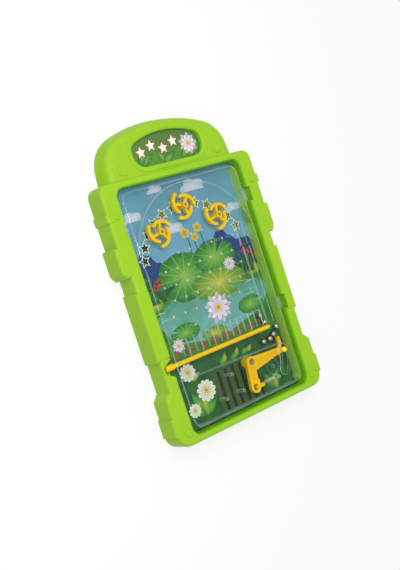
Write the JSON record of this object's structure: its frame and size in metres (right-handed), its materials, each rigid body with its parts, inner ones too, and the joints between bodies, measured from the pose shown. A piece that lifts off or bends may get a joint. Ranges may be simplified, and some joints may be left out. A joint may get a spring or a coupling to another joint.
{
  "type": "tabletop pinball game",
  "caption": "Flat handheld pinball game: moulded frame round a printed playfield under a clear cover, with pegs, spinners, score slots, a launch lever and a ball release bar.",
  "frame": {"origin": "middle of the back face, the middle of the part's box seen from the front", "axes": "+X to the player's right, +Y up the playfield to the header, +Z out of the front"},
  "size_m": [0.188, 0.2944, 0.0242],
  "materials": {
    "green_abs": "satin moulding",
    "yellow_abs": "gloss moulding",
    "clear_styrene": "clear, polished",
    "playfield_print": "gloss print",
    "header_print": "gloss print",
    "ball_steel": "polished",
    "spring_steel": "bright wire",
    "screw_steel": "zinc plated"
  },
  "bodies": {
    "casing": {"front_frame": "green_abs", "back_cover": "green_abs", "back_cover_screws": "screw_steel", "playfield_card": "playfield_print", "header_card": "header_print", "clear_cover": "clear_styrene", "arch_rail": "clear_styrene", "lane_rail": "clear_styrene", "trough_rail": "clear_styrene", "pegs": "clear_styrene", "slot_dividers": "clear_styrene", "support_posts": "clear_styrene", "spring_post": "clear_styrene", "spinner_pins": "clear_styrene", "lever_pin": "clear_styrene", "launch_spring": "spring_steel"},
    "lever": {"launch_lever": "yellow_abs"},
    "release": {"release_bar": "yellow_abs", "release_knob": "yellow_abs"},
    "spinner_left": {"spinner_left": "yellow_abs"},
    "spinner_middle": {"spinner_middle": "yellow_abs"},
    "spinner_right": {"spinner_right": "yellow_abs"},
    "lane_ball": {"lane_ball": "ball_steel"},
    "trough_balls": {"trough_balls": "ball_steel"},
    "slot_balls": {"slot_balls": "ball_steel"}
  },
  "joints": [
    {"name": "lever_pull", "type": "hinge", "parent": "casing", "child": "lever", "pos_m": [0.0155, -0.10055, 0.0132], "axis": [0, 0, 1], "range_deg": [-21, 0], "stiffness_Nm_per_rad": 0.03, "springref_deg": 5.73, "deforming": ["launch_spring"]},
    {"name": "release_turn", "type": "hinge", "parent": "casing", "child": "release", "pos_m": [0, -0.07555, 0.016], "axis": [-1, 0, 0], "range_deg": [0, 90]},
    {"name": "spinner_left_spin", "type": "hinge", "parent": "casing", "child": "spinner_left", "pos_m": [-0.0368, 0.04275, 0.0132], "axis": [0, 0, 1], "continuous": true},
    {"name": "spinner_middle_spin", "type": "hinge", "parent": "casing", "child": "spinner_middle", "pos_m": [-0.0018, 0.06095, 0.0132], "axis": [0, 0, 1], "continuous": true},
    {"name": "spinner_right_spin", "type": "hinge", "parent": "casing", "child": "spinner_right", "pos_m": [0.0332, 0.04275, 0.0132], "axis": [0, 0, 1], "continuous": true},
    {"name": "lane_ball_roll", "type": "slide", "parent": "casing", "child": "lane_ball", "axis": [0, 1, 0], "range_m": [-0.006, 0.098]},
    {"name": "trough_balls_roll", "type": "slide", "parent": "casing", "child": "trough_balls", "axis": [0.9995, -0.0304, 0], "range_m": [-0.1, 0]},
    {"name": "slot_balls_roll", "type": "slide", "parent": "casing", "child": "slot_balls", "axis": [0, 1, 0], "range_m": [0, 0.012]}
  ]
}
